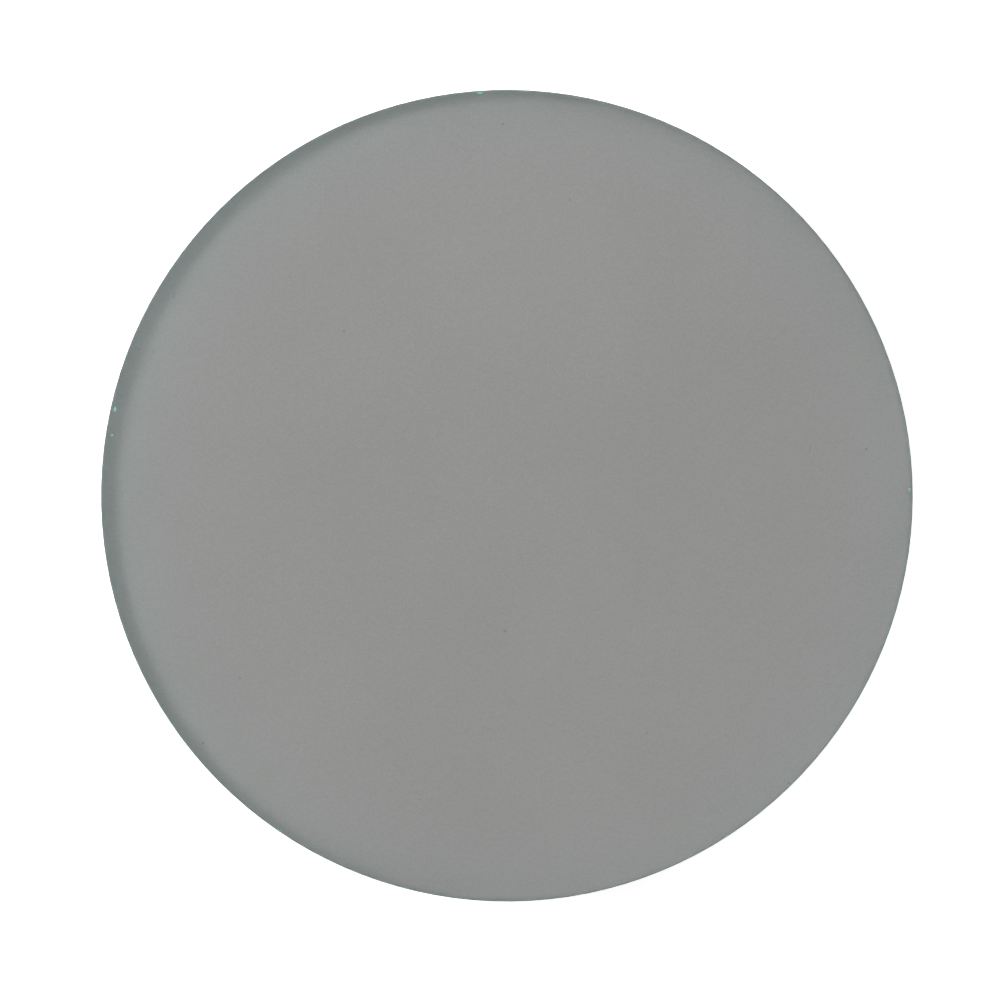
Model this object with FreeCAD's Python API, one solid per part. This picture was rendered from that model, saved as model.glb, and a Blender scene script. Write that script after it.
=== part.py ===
"""Round glass-topped manhole cover on a bolted steel frame.

Millimetres, +Z up. The origin is on the opening's axis, in the plane that the frame stands on.
The hinge is at +Y and the latch at -Y, both under the rim of the glass.
"""
import FreeCAD, Part
import math
import os

# Clear opening and frame
opening_radius = 300.0
neck_wall = 6.0
neck_height = 59.0
flange_width = 40.0
flange_thickness = 8.0
gasket_thickness = 3.0
anchor_count = 8
anchor_offset = 20.0
anchor_hole_radius = 7.0
gusset_reach = 32.0
gusset_seal_gap = 9.0
gusset_thickness = 6.0
gusset_angles = (0, 45, 90, 135, 180, 225, 315)

# Edge seal that the lid rests on
seal_leg = 3.0
seal_leg_depth = 10.0
seal_web = 6.0
seal_slack = 0.2

# Laminated glass: two plies joined by one opaque interlayer
glass_overhang = 12.0
top_ply = 19.0
bottom_ply = 12.0
interlayer_thickness = 1.52
arris = 0.8

# Lid carrier and the bond between it and the glass
carrier_overlap = 32.0
carrier_width = 76.0
carrier_thickness = 8.0
bond_gap = 6.0
bead_inset = 20.0
bead_width = 26.0
tape_width = 4.0
tape_to_bead = 2.0
tab_count = 8
tab_length = 50.0
tab_thickness = 5.0
tab_depth = 12.0
tab_gap = 4.0

# Hinges
hinge_offset_x = 62.0
hinge_stand_off = 20.0
hinge_axis_drop = 13.0
hinge_pin_radius = 5.0
hinge_bush_wall = 2.0
knuckle_radius = 10.0
knuckle_width = 20.0
ear_thickness = 6.0
washer_thickness = 0.8
washer_play = 0.2
bracket_foot = 6.0
bracket_margin = 5.0
bracket_depth = 27.0
stop_web = 4.0
stop_gap = 0.5
pin_head_radius = 8.0
pin_head = 3.0
circlip_thickness = 1.2

# Latch
latch_axis_drop = 25.0
bush_radius = 11.0
bush_flange_radius = 14.0
bush_flange = 5.0
bush_wall = 2.0
spindle_radius = 7.0
spindle_square = 10.0
cam_length = 22.0
cam_thickness = 7.0
cam_half_width = 10.0
cam_gap = 12.0
cam_nut_flats = 13.0
cam_nut_height = 6.0
stub_radius = 4.0
lever_floor_gap = 2.5
lever_width = 12.0
lever_thickness = 6.0
lever_hub_radius = 10.0
grip_start = 13.0
grip_wall = 1.5
striker_thickness = 6.0
striker_foot_depth = 8.0
striker_foot_start = 12.0
striker_leg_start = 26.0
striker_leg_width = 8.0
striker_gap = 0.3
striker_pad_start = 18.0
striker_pad_end = 42.0
striker_pad_depth = 19.0
striker_pad_thickness = 5.0

# Screws and fits
screw_radius = 3.0
screw_head_radius = 6.0
screw_head = 3.0
cap_head_radius = 5.0
cap_head = 6.0
clearance_hole = 0.2
thread_fit = 0.05
running_fit = 0.05
press_fit = 0.05
wall_fit = 0.1

# Levels worked out from the sizes above
flange_bottom = gasket_thickness
flange_top = flange_bottom + flange_thickness
neck_top = flange_top + neck_height
seal_low = neck_top - seal_leg_depth
gusset_top = seal_low - gusset_seal_gap
latch_axis_z = neck_top - latch_axis_drop
lever_length = latch_axis_z - flange_top - grip_wall - lever_floor_gap
seat_top = neck_top + seal_web
carrier_top = seat_top + carrier_thickness
glass_bottom = carrier_top + bond_gap

# Radii and places worked out from the clear opening outwards
neck_outer_radius = opening_radius + neck_wall
flange_outer_radius = neck_outer_radius + flange_width
anchor_pitch_radius = neck_outer_radius + anchor_offset
carrier_outer_radius = neck_outer_radius + carrier_overlap
carrier_inner_radius = carrier_outer_radius - carrier_width
glass_radius = carrier_outer_radius + glass_overhang
bead_outer_radius = carrier_outer_radius - bead_inset
bead_inner_radius = bead_outer_radius - bead_width
seal_inner_radius = opening_radius - seal_slack - seal_leg
cam_front_y = cam_gap - seal_inner_radius
hinge_axis_y = neck_outer_radius + hinge_stand_off
hinge_axis_z = seat_top - hinge_axis_drop
hinge_bush_radius = hinge_pin_radius + running_fit + hinge_bush_wall
ear_gap = knuckle_width / 2 + washer_thickness + washer_play
ear_outside = ear_gap + ear_thickness


def vec(x, y, z):
    return FreeCAD.Vector(x, y, z)


def block(x0, x1, y0, y1, z0, z1):
    return Part.makeBox(x1 - x0, y1 - y0, z1 - z0, vec(x0, y0, z0))


def upright(radius, z0, z1, x=0.0, y=0.0):
    return Part.makeCylinder(radius, z1 - z0, vec(x, y, z0), vec(0, 0, 1))


def ring(inner, outer, z0, z1):
    return upright(outer, z0, z1).cut(upright(inner, z0, z1))


def along_x(radius, x0, x1, y, z):
    return Part.makeCylinder(radius, x1 - x0, vec(x0, y, z), vec(1, 0, 0))


def along_y(radius, y0, y1, x, z):
    return Part.makeCylinder(radius, y1 - y0, vec(x, y0, z), vec(0, 1, 0))


def plate(points, direction):
    """A flat plate: the outline through points, extruded by direction."""
    outline = Part.makePolygon([*points, points[0]])
    return Part.Face(outline).extrude(direction)


def hexagon(flats, y0, y1, x, z):
    """A hexagonal prism along Y."""
    corner = flats / math.sqrt(3)
    turns = [math.radians(60 * k) for k in range(6)]
    points = [vec(x + corner * math.cos(t), y0, z + corner * math.sin(t)) for t in turns]
    return plate(points, vec(0, y1 - y0, 0))


def countersunk(x, y, top, length, head_grow=0.0, shank_grow=0.0):
    """A countersunk screw pointing down from top, or the hole for one."""
    shank = upright(screw_radius + shank_grow, top - length, top, x, y)
    head = Part.makeCone(
        screw_radius, screw_head_radius + head_grow, screw_head, vec(x, y, top - screw_head), vec(0, 0, 1)
    )
    return shank.fuse(head)


def both_sides(shape):
    """A shape and its mirror image across the YZ plane."""
    return [shape, shape.mirror(vec(0, 0, 0), vec(1, 0, 0))]


def turned(shape, degrees):
    """A copy of a shape turned about the opening's axis."""
    copy = shape.copy()
    copy.rotate(vec(0, 0, 0), vec(0, 0, 1), degrees)
    return copy


def without(shape, holes):
    for hole in holes:
        shape = shape.cut(hole)
    return shape


# Frame


def anchor_holes(z0, z1):
    holes = []
    for k in range(anchor_count):
        turn = math.radians((k + 0.5) * 360 / anchor_count)
        x = anchor_pitch_radius * math.cos(turn)
        y = anchor_pitch_radius * math.sin(turn)
        holes.append(upright(anchor_hole_radius, z0, z1, x, y))
    return holes


bracket_screw_y = neck_outer_radius + bracket_foot + 2 * screw_radius
bracket_screw_x = (hinge_offset_x - screw_radius * 2, hinge_offset_x + screw_radius * 2)
bracket_screw_bottom = flange_bottom + 1.0


def base_gasket():
    body = ring(opening_radius, flange_outer_radius, 0, flange_bottom)
    return without(body, anchor_holes(0, flange_bottom))


def base_flange():
    body = ring(opening_radius, flange_outer_radius, flange_bottom, flange_top)
    holes = anchor_holes(flange_bottom, flange_top)
    for x in bracket_screw_x:
        hole = upright(screw_radius + thread_fit, flange_bottom, flange_top, x, bracket_screw_y)
        holes += both_sides(hole)
    return without(body, holes)


def neck_ring():
    body = ring(opening_radius, neck_outer_radius, flange_top, neck_top)
    return body.cut(along_y(bush_radius + wall_fit, -neck_outer_radius - 1, 0, 0, latch_axis_z))


def neck_gussets():
    inner = neck_outer_radius
    outer = inner + gusset_reach
    nose = gusset_thickness
    points = [
        vec(inner, -gusset_thickness / 2, flange_top),
        vec(outer, -gusset_thickness / 2, flange_top),
        vec(outer, -gusset_thickness / 2, flange_top + nose),
        vec(inner + nose, -gusset_thickness / 2, gusset_top),
        vec(inner, -gusset_thickness / 2, gusset_top),
    ]
    gusset = plate(points, vec(0, gusset_thickness, 0))
    return Part.makeCompound([turned(gusset, angle) for angle in gusset_angles])


def neck_seal():
    inner = opening_radius - seal_slack
    outer = neck_outer_radius + seal_slack
    web = ring(seal_inner_radius, outer + seal_leg, neck_top, seat_top)
    inner_leg = ring(seal_inner_radius, inner, seal_low, neck_top)
    outer_leg = ring(outer, outer + seal_leg, seal_low, neck_top)
    return web.fuse([inner_leg, outer_leg]).removeSplitter()


# Hinges: each is built at +X and mirrored


def hinge_bracket():
    x = hinge_offset_x
    y0 = neck_outer_radius + wall_fit * 4
    y1 = y0 + bracket_depth
    foot_top = flange_top + bracket_foot
    reach = ear_outside + bracket_margin
    body = block(x - reach, x + reach, y0, y1, flange_top, foot_top)
    ears = []
    for inside in (x - ear_outside, x + ear_gap):
        points = [
            vec(inside, y0 + 1, foot_top),
            vec(inside, y1, foot_top),
            vec(inside, hinge_axis_y + knuckle_radius - 1, hinge_axis_z),
            vec(inside, hinge_axis_y - knuckle_radius + 1, hinge_axis_z),
        ]
        blade = plate(points, vec(ear_thickness, 0, 0))
        eye = along_x(knuckle_radius, inside, inside + ear_thickness, hinge_axis_y, hinge_axis_z)
        ears.append(blade.fuse(eye))
    stop_top = hinge_axis_z - hinge_axis_drop - stop_gap
    web = block(x - ear_gap, x + ear_gap, y1 - stop_web, y1, foot_top, stop_top)
    body = body.fuse([*ears, web])
    hole_radius = hinge_pin_radius + running_fit
    holes = [along_x(hole_radius, x - reach, x + reach, hinge_axis_y, hinge_axis_z)]
    for screw_x in bracket_screw_x:
        holes.append(upright(screw_radius + clearance_hole, flange_top, foot_top, screw_x, bracket_screw_y))
    return without(body, holes).removeSplitter()


def bracket_screws():
    head_low = flange_top + bracket_foot
    screws = []
    for x in bracket_screw_x:
        shank = upright(screw_radius, bracket_screw_bottom, head_low, x, bracket_screw_y)
        head = upright(cap_head_radius, head_low, head_low + cap_head, x, bracket_screw_y)
        screws += both_sides(shank.fuse(head).removeSplitter())
    return Part.makeCompound(screws)


circlip_x = hinge_offset_x + ear_outside + washer_play
pin_end_x = circlip_x + circlip_thickness * 2


def hinge_pin():
    x0 = hinge_offset_x - ear_outside
    body = along_x(hinge_pin_radius, x0, pin_end_x, hinge_axis_y, hinge_axis_z)
    head = along_x(pin_head_radius, x0 - pin_head, x0, hinge_axis_y, hinge_axis_z)
    return body.fuse(head).removeSplitter()


def hinge_circlips():
    outer = along_x(
        hinge_pin_radius + 2.5, circlip_x, circlip_x + circlip_thickness, hinge_axis_y, hinge_axis_z
    )
    inner = along_x(
        hinge_pin_radius + press_fit, circlip_x, circlip_x + circlip_thickness, hinge_axis_y, hinge_axis_z
    )
    return Part.makeCompound(both_sides(outer.cut(inner)))


def hinge_washers():
    washers = []
    near = hinge_offset_x - ear_gap
    far = hinge_offset_x + ear_gap - washer_thickness
    for x in (near, far):
        outer = along_x(knuckle_radius - 1, x, x + washer_thickness, hinge_axis_y, hinge_axis_z)
        bore = along_x(
            hinge_pin_radius + running_fit, x, x + washer_thickness, hinge_axis_y, hinge_axis_z
        )
        washers += both_sides(outer.cut(bore))
    return Part.makeCompound(washers)


lug_screw_y = hinge_axis_y - 4.0
lug_screw_x = (hinge_offset_x - screw_radius * 2, hinge_offset_x + screw_radius * 2)
lug_screw_length = seat_top + carrier_thickness - (hinge_axis_z + hinge_bush_radius + 1.5)


def hinge_lug():
    x0 = hinge_offset_x - knuckle_width / 2
    x1 = hinge_offset_x + knuckle_width / 2
    y0 = hinge_axis_y - knuckle_radius
    y1 = hinge_axis_y + knuckle_radius
    body = block(x0, x1, y0, y1, hinge_axis_z, seat_top)
    body = body.fuse(along_x(knuckle_radius, x0, x1, hinge_axis_y, hinge_axis_z))
    holes = [along_x(hinge_bush_radius + press_fit, x0, x1, hinge_axis_y, hinge_axis_z)]
    for x in lug_screw_x:
        low = carrier_top - lug_screw_length
        holes.append(upright(screw_radius + thread_fit, low, seat_top, x, lug_screw_y))
    return without(body, holes).removeSplitter()


def hinge_bush():
    x0 = hinge_offset_x - knuckle_width / 2
    x1 = hinge_offset_x + knuckle_width / 2
    outer = along_x(hinge_bush_radius, x0, x1, hinge_axis_y, hinge_axis_z)
    return outer.cut(along_x(hinge_pin_radius + running_fit, x0, x1, hinge_axis_y, hinge_axis_z))


def lug_screws():
    screws = []
    for x in lug_screw_x:
        screws += both_sides(countersunk(x, lug_screw_y, carrier_top, lug_screw_length))
    return Part.makeCompound(screws)


# Lid

striker_back_y = cam_front_y + striker_pad_depth
striker_screw_x = (striker_pad_start + screw_head_radius, striker_pad_end - screw_radius)
striker_screw_y = (cam_front_y + striker_thickness + striker_back_y) / 2
striker_screw_length = carrier_thickness + striker_pad_thickness - 0.5


def carrier_ring():
    body = ring(carrier_inner_radius, carrier_outer_radius, seat_top, carrier_top)
    holes = []
    for x in lug_screw_x:
        holes += both_sides(
            countersunk(x, lug_screw_y, carrier_top, carrier_thickness, clearance_hole, clearance_hole)
        )
    for x in striker_screw_x:
        holes.append(
            countersunk(x, striker_screw_y, carrier_top, carrier_thickness, clearance_hole, clearance_hole)
        )
    return without(body, holes)


def locating_tabs():
    """Flat bars on edge under the carrier that centre the lid inside the seal."""
    reach = math.sqrt((seal_inner_radius - tab_gap) ** 2 - (tab_length / 2) ** 2)
    bar = block(
        reach - tab_thickness, reach, -tab_length / 2, tab_length / 2, seat_top - tab_depth, seat_top
    )
    return Part.makeCompound([turned(bar, (k + 0.5) * 360 / tab_count) for k in range(tab_count)])


def bond_bead():
    return ring(bead_inner_radius, bead_outer_radius, carrier_top, glass_bottom)


def spacer_tape():
    outer = bead_inner_radius - tape_to_bead
    return ring(outer - tape_width, outer, carrier_top, glass_bottom)


def glass_ply(z0, thickness):
    """A round sheet of glass with both of its edges ground."""
    body = upright(glass_radius, z0, z0 + thickness)
    rims = [edge for edge in body.Edges if edge.Closed and edge.Length > thickness]
    return body.makeChamfer(arris, rims)


def grey_interlayer():
    z0 = glass_bottom + bottom_ply
    return upright(glass_radius - arris, z0, z0 + interlayer_thickness)


# The striker is three plates welded together under the carrier: the cam holds its foot down

striker_y0 = cam_front_y
striker_y1 = cam_front_y + striker_thickness
striker_foot_top = latch_axis_z - cam_half_width - striker_gap
striker_foot_low = striker_foot_top - striker_foot_depth
striker_pad_low = seat_top - striker_pad_thickness


def striker_foot():
    return block(
        striker_foot_start, striker_leg_start, striker_y0, striker_y1, striker_foot_low, striker_foot_top
    )


def striker_leg():
    leg_end = striker_leg_start + striker_leg_width
    return block(striker_leg_start, leg_end, striker_y0, striker_y1, striker_foot_low, striker_pad_low)


def striker_pad():
    body = block(
        striker_pad_start, striker_pad_end, striker_y0, striker_back_y, striker_pad_low, seat_top
    )
    low = carrier_top - striker_screw_length
    radius = screw_radius + thread_fit
    return without(body, [upright(radius, low, seat_top, x, striker_screw_y) for x in striker_screw_x])


def striker_screws():
    screws = []
    for x in striker_screw_x:
        screws.append(countersunk(x, striker_screw_y, carrier_top, striker_screw_length))
    return Part.makeCompound(screws)


# Latch: its spindle lies along Y through the front of the neck

bush_face_y = -neck_outer_radius - wall_fit
bush_front_y = bush_face_y - bush_flange
liner_collar = 1.0
lever_back_y = bush_front_y - liner_collar - washer_thickness - washer_play
lever_front_y = lever_back_y - lever_thickness
bush_inner_y = -opening_radius + 7.0
cam_back_y = cam_front_y + cam_thickness
nut_front_y = cam_back_y + 1.5


def latch_bush():
    body = along_y(bush_radius, bush_front_y, bush_inner_y, 0, latch_axis_z)
    body = body.fuse(along_y(bush_flange_radius, bush_front_y, bush_face_y, 0, latch_axis_z))
    bore_radius = bush_radius - bush_wall
    return body.cut(along_y(bore_radius, bush_front_y, bush_inner_y, 0, latch_axis_z)).removeSplitter()


def latch_liner():
    outer_radius = bush_radius - bush_wall - press_fit
    body = along_y(outer_radius, bush_front_y, bush_inner_y, 0, latch_axis_z)
    collar = along_y(bush_radius, bush_front_y - liner_collar, bush_front_y, 0, latch_axis_z)
    bore = along_y(
        spindle_radius + running_fit, bush_front_y - liner_collar, bush_inner_y, 0, latch_axis_z
    )
    return body.fuse(collar).cut(bore).removeSplitter()


def square_bar(side, y0, y1):
    half = side / 2
    return block(-half, half, y0, y1, latch_axis_z - half, latch_axis_z + half)


def latch_spindle():
    body = along_y(spindle_radius, lever_back_y, cam_front_y, 0, latch_axis_z)
    front = square_bar(spindle_square, lever_front_y + wall_fit, lever_back_y)
    back = square_bar(spindle_square, cam_front_y, cam_back_y - wall_fit)
    stub = along_y(stub_radius, cam_back_y - wall_fit, nut_front_y + cam_nut_height + 2, 0, latch_axis_z)
    body = body.fuse([front, back, stub])
    screw_hole = along_y(
        screw_radius + thread_fit, lever_front_y + wall_fit, lever_back_y + 8, 0, latch_axis_z
    )
    return body.cut(screw_hole).removeSplitter()


def lever_washer():
    y0 = lever_back_y
    y1 = lever_back_y + washer_thickness
    outer = along_y(bush_radius, y0, y1, 0, latch_axis_z)
    return outer.cut(along_y(spindle_radius + running_fit, y0, y1, 0, latch_axis_z))


def latch_lever():
    hub = along_y(lever_hub_radius, lever_front_y, lever_back_y, 0, latch_axis_z)
    half = lever_width / 2
    arm = block(
        0, lever_length, lever_front_y, lever_back_y, latch_axis_z - half, latch_axis_z + half
    )
    hole = square_bar(spindle_square + 2 * wall_fit, lever_front_y, lever_back_y)
    return hub.fuse(arm).cut(hole).removeSplitter()


def lever_grip():
    """A rubber sleeve over the free end of the lever."""
    half = lever_width / 2
    slack = press_fit
    outer = block(
        grip_start,
        lever_length + grip_wall,
        lever_front_y - grip_wall,
        lever_back_y + grip_wall,
        latch_axis_z - half - grip_wall,
        latch_axis_z + half + grip_wall,
    )
    long_edges = [edge for edge in outer.Edges if edge.BoundBox.YLength > lever_thickness]
    ends = [edge for edge in long_edges if edge.CenterOfMass.x > grip_start + 1]
    outer = outer.makeFillet(grip_wall * 2, ends)
    core = block(
        grip_start,
        lever_length + slack,
        lever_front_y - slack,
        lever_back_y + slack,
        latch_axis_z - half - slack,
        latch_axis_z + half + slack,
    )
    return outer.cut(core)


def lever_screw():
    shank = along_y(screw_radius, lever_front_y, lever_back_y + 7, 0, latch_axis_z)
    head = along_y(lever_hub_radius - 2, lever_front_y - screw_head, lever_front_y, 0, latch_axis_z)
    return shank.fuse(head).removeSplitter()


def latch_cam():
    """A bar that points up when free and lies over the striker's foot when turned."""
    hub = along_y(cam_half_width, cam_front_y, cam_back_y, 0, latch_axis_z)
    bar = block(
        -cam_half_width, cam_half_width, cam_front_y, cam_back_y, latch_axis_z, latch_axis_z + cam_length
    )
    hole = square_bar(spindle_square + 2 * wall_fit, cam_front_y, cam_back_y)
    return hub.fuse(bar).cut(hole).removeSplitter()


def cam_nut():
    bore = along_y(stub_radius + thread_fit, cam_back_y, nut_front_y + cam_nut_height, 0, latch_axis_z)
    washer = along_y(cam_half_width - 1, cam_back_y, nut_front_y, 0, latch_axis_z)
    nut = hexagon(cam_nut_flats, nut_front_y, nut_front_y + cam_nut_height, 0, latch_axis_z)
    return Part.makeCompound([washer.cut(bore), nut.cut(bore)])


bracket_pair = both_sides(hinge_bracket())
pin_pair = both_sides(hinge_pin())
lug_pair = both_sides(hinge_lug())
bush_pair = both_sides(hinge_bush())

nodes = {
    "base_gasket": base_gasket(),
    "base_flange": base_flange(),
    "neck_ring": neck_ring(),
    "neck_gussets": neck_gussets(),
    "neck_seal": neck_seal(),
    "hinge_bracket_right": bracket_pair[0],
    "hinge_bracket_left": bracket_pair[1],
    "bracket_screws": bracket_screws(),
    "hinge_pin_right": pin_pair[0],
    "hinge_pin_left": pin_pair[1],
    "hinge_circlips": hinge_circlips(),
    "hinge_washers": hinge_washers(),
    "latch_bush": latch_bush(),
    "latch_liner": latch_liner(),
    "bottom_glass_ply": glass_ply(glass_bottom, bottom_ply),
    "grey_interlayer": grey_interlayer(),
    "top_glass_ply": glass_ply(glass_bottom + bottom_ply + interlayer_thickness, top_ply),
    "bond_bead": bond_bead(),
    "spacer_tape": spacer_tape(),
    "carrier_ring": carrier_ring(),
    "locating_tabs": locating_tabs(),
    "hinge_lug_right": lug_pair[0],
    "hinge_lug_left": lug_pair[1],
    "lug_screws": lug_screws(),
    "hinge_bush_right": bush_pair[0],
    "hinge_bush_left": bush_pair[1],
    "striker_pad": striker_pad(),
    "striker_leg": striker_leg(),
    "striker_foot": striker_foot(),
    "striker_screws": striker_screws(),
    "latch_spindle": latch_spindle(),
    "lever_washer": lever_washer(),
    "latch_lever": latch_lever(),
    "lever_grip": lever_grip(),
    "lever_screw": lever_screw(),
    "latch_cam": latch_cam(),
    "cam_nut": cam_nut(),
}

os.makedirs("parts", exist_ok=True)
for name, shape in nodes.items():
    assert shape.isValid(), name
    shape.exportStep(f"parts/{name}.step")
print(len(nodes), "nodes written")
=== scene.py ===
"""The looks of the glass-topped manhole cover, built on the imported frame. Metres, +Z up."""
import math

import bmesh
import bpy
from mathutils import Matrix, Vector


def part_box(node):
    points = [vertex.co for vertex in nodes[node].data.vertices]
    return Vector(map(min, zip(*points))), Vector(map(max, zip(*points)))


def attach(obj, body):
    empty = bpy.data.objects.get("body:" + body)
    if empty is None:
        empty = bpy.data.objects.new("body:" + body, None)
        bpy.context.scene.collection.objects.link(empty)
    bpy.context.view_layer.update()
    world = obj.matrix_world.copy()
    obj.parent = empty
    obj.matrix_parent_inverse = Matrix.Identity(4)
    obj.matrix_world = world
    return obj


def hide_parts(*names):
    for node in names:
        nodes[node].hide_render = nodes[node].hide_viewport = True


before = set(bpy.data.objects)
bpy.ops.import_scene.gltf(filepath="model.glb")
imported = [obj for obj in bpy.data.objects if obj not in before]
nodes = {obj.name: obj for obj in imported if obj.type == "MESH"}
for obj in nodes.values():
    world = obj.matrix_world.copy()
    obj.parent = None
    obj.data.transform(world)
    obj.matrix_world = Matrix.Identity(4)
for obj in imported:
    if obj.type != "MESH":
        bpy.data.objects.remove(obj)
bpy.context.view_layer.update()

MM = 0.001

# ---------------------------------------------------------------- levels and radii, from the frame
glass_low, glass_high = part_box("top_glass_ply")
GLASS_TOP = glass_high.z
GLASS_RADIUS = glass_high.x
TOP_PLY_LOW = glass_low.z
BOTTOM_LOW, BOTTOM_HIGH = (corner.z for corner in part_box("bottom_glass_ply"))

# ---------------------------------------------------------------- sizes inside a node's box, in millimetres
NECK_WALL = 6.0
GUSSET_THICKNESS = 6.0
SEAL_WIDTH = 12.4
CARRIER_WIDTH = 76.0
BEAD_WIDTH = 26.0
EAR_SPREAD = 34.0
TAB_COUNT = 8
TAB_LENGTH = 50.0
TAB_THICKNESS = 5.0
TAB_GAP = 4.0


# ---------------------------------------------------------------- material tools
def new_material(name):
    """An empty material with its Principled shader."""
    made = bpy.data.materials.new(name)
    made.use_nodes = True
    tree = made.node_tree
    return made, tree, tree.nodes["Principled BSDF"]


def add(tree, kind, inputs=None, **settings):
    """A node with its settings, each input a number, a colour or another node's output."""
    node = tree.nodes.new("ShaderNode" + kind)
    for key, value in settings.items():
        setattr(node, key, value)
    for key, value in (inputs or {}).items():
        if isinstance(value, bpy.types.NodeSocket):
            tree.links.new(value, node.inputs[key])
        else:
            node.inputs[key].default_value = value
    return node


def math_node(tree, operation, *values):
    return add(tree, "Math", dict(enumerate(values)), operation=operation).outputs[0]


def position(tree):
    return add(tree, "TexCoord").outputs["Object"]


def noise(tree, vector, scale, detail=3.0, roughness=0.55):
    inputs = {"Vector": vector, "Scale": scale, "Detail": detail, "Roughness": roughness}
    return add(tree, "TexNoise", inputs).outputs["Fac"]


def stretched(tree, vector, scale):
    """The same place with each axis scaled, which draws a pattern out into lines."""
    return add(tree, "Mapping", {"Vector": vector, "Scale": scale}).outputs["Vector"]


def remap(tree, value, low, high, to_low=0.0, to_high=1.0):
    inputs = {"Value": value, "From Min": low, "From Max": high, "To Min": to_low, "To Max": to_high}
    return add(tree, "MapRange", inputs).outputs[0]


def blend_colour(tree, factor, first, second):
    node = add(tree, "Mix", data_type="RGBA")
    for socket, value in ((0, factor), (6, first), (7, second)):
        if isinstance(value, bpy.types.NodeSocket):
            tree.links.new(value, node.inputs[socket])
        else:
            node.inputs[socket].default_value = value
    return node.outputs[2]


def feed(tree, shader, **inputs):
    for key, value in inputs.items():
        socket = shader.inputs[key.replace("_", " ")]
        if isinstance(value, bpy.types.NodeSocket):
            tree.links.new(value, socket)
        else:
            socket.default_value = value


def bump(tree, shader, height, strength, distance):
    inputs = {"Height": height, "Strength": strength, "Distance": distance}
    tree.links.new(add(tree, "Bump", inputs).outputs[0], shader.inputs["Normal"])


def grey(value, tint=(1.0, 1.0, 1.0)):
    return (value * tint[0], value * tint[1], value * tint[2], 1.0)


def dress(material, *names):
    """Give nodes of the frame a finish."""
    for name in names:
        nodes[name].data.materials.clear()
        nodes[name].data.materials.append(material)


# ---------------------------------------------------------------- glass
FILM_COLOUR = (0.416, 0.406, 0.400, 1.0)
EDGE_GREEN = (0.072, 0.195, 0.190, 1.0)
CHIP_GLINT_GREEN = (0.16, 0.42, 0.38, 1.0)
CLEAR_GREEN = (0.965, 0.99, 0.982, 1.0)
DIRT = (0.30, 0.27, 0.24, 1.0)
FRIT_DARK = (0.008, 0.008, 0.009, 1.0)
FRIT_LIGHT = (0.022, 0.022, 0.024, 1.0)
FRIT_BORDER = 4 * MM
FRIT_DOTS = 16 * MM
GLASS_IOR = 1.52
SKIN = 0.06 * MM

# Specks and short fibres settled on the face, and shell chips on its rim, whose glints are painted as
# lighter green spots:
# x, y, half length and half width in millimetres, and the turn in degrees
SPECKS = (
    (-3.4, 320.4, 1.5, 1.1, 20), (54.4, 254.9, 1.2, 0.9, 70), (-140.4, 142.0, 1.3, 1.0, 0),
    (309.6, 40.3, 1.5, 1.1, 40), (-1.6, -116.6, 1.5, 1.2, 10), (-230.1, -157.2, 1.0, 0.8, 0),
    (-262.0, -213.2, 1.7, 1.0, 120), (-287.0, 173.0, 3.2, 0.45, 65), (-318.0, 126.5, 2.8, 0.45, -18),
    (-305.0, 123.9, 2.6, 0.35, 35), (261.3, 39.4, 3.4, 0.35, 80), (121.0, -205.0, 0.9, 0.7, 0),
    (-75.0, -262.0, 0.8, 0.6, 0),
)
CHIP_GLINT_SPOTS = (
    (-337.9, 74.7, 2.1, 1.3, 80), (-340.5, 52.0, 1.2, 0.7, 75), (346.6, 4.9, 2.0, 1.0, 90),
    (-23.2, 347.2, 2.4, 1.1, 5), (243.0, -247.5, 1.2, 0.7, -45), (-196.0, -288.5, 1.3, 0.8, -35),
)


def marks(tree, place, rows):
    """One where the face has a mark from rows, fading to nought just outside it."""
    total = None
    for x, y, half_length, half_width, turn in rows:
        inputs = {
            "Vector": place,
            "Location": (x * MM, y * MM, 0.0),
            "Rotation": (0.0, 0.0, math.radians(turn)),
            "Scale": (half_length * MM, half_width * MM, 1000.0),
        }
        local = add(tree, "Mapping", inputs, vector_type="TEXTURE").outputs["Vector"]
        away = add(tree, "VectorMath", {0: local}, operation="LENGTH").outputs["Value"]
        mark = remap(tree, away, 0.55, 1.25, 1.0, 0.0)
        total = mark if total is None else math_node(tree, "MAXIMUM", total, mark)
    return total


def film_shader(tree, depth=1.0):
    """The opaque grey film: nearly even, with a faint fine mottle. A lower scale paints it darker, as
    painted shade.
    """
    shader = add(tree, "BsdfPrincipled")
    place = position(tree)
    cloud = noise(tree, place, 5.0, 2.0)
    grain = noise(tree, place, 900.0, 2.0)
    clouds = remap(tree, cloud, 0.3, 0.7, -0.5, 0.5)
    mottle = math_node(tree, "ADD", clouds, remap(tree, grain, 0.25, 0.75, -0.6, 0.6))
    dark, light = grey(0.945 * depth, FILM_COLOUR), grey(1.055 * depth, FILM_COLOUR)
    colour = blend_colour(tree, remap(tree, mottle, -1.0, 1.0), dark, light)
    feed(tree, shader, Base_Color=colour, Roughness=0.9)
    shader.inputs["Specular IOR Level"].default_value = 0.0
    return shader.outputs[0]


def edge_shader(tree, place, shader):
    """A ground glass edge: rough, blue-green and flecked with small spots of lighter green, a painted
    highlight for glints where it is flaked.
    """
    grind = noise(tree, stretched(tree, place, (60.0, 60.0, 900.0)), 1.0, 4.0)
    # Small flecks of the edge painted a lighter green: painted highlights for the glints of shell chips
    chip_glint_flecks = noise(tree, place, 210.0, 2.0)
    colour = blend_colour(tree, remap(tree, chip_glint_flecks, 0.70, 0.76), EDGE_GREEN, CHIP_GLINT_GREEN)
    feed(tree, shader, Base_Color=colour, Roughness=remap(tree, grind, 0.3, 0.7, 0.42, 0.6), IOR=GLASS_IOR)
    shader.inputs["Transmission Weight"].default_value = 1.0
    bump(tree, shader, grind, 0.25, 0.0002)
    return shader.outputs[0]


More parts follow.
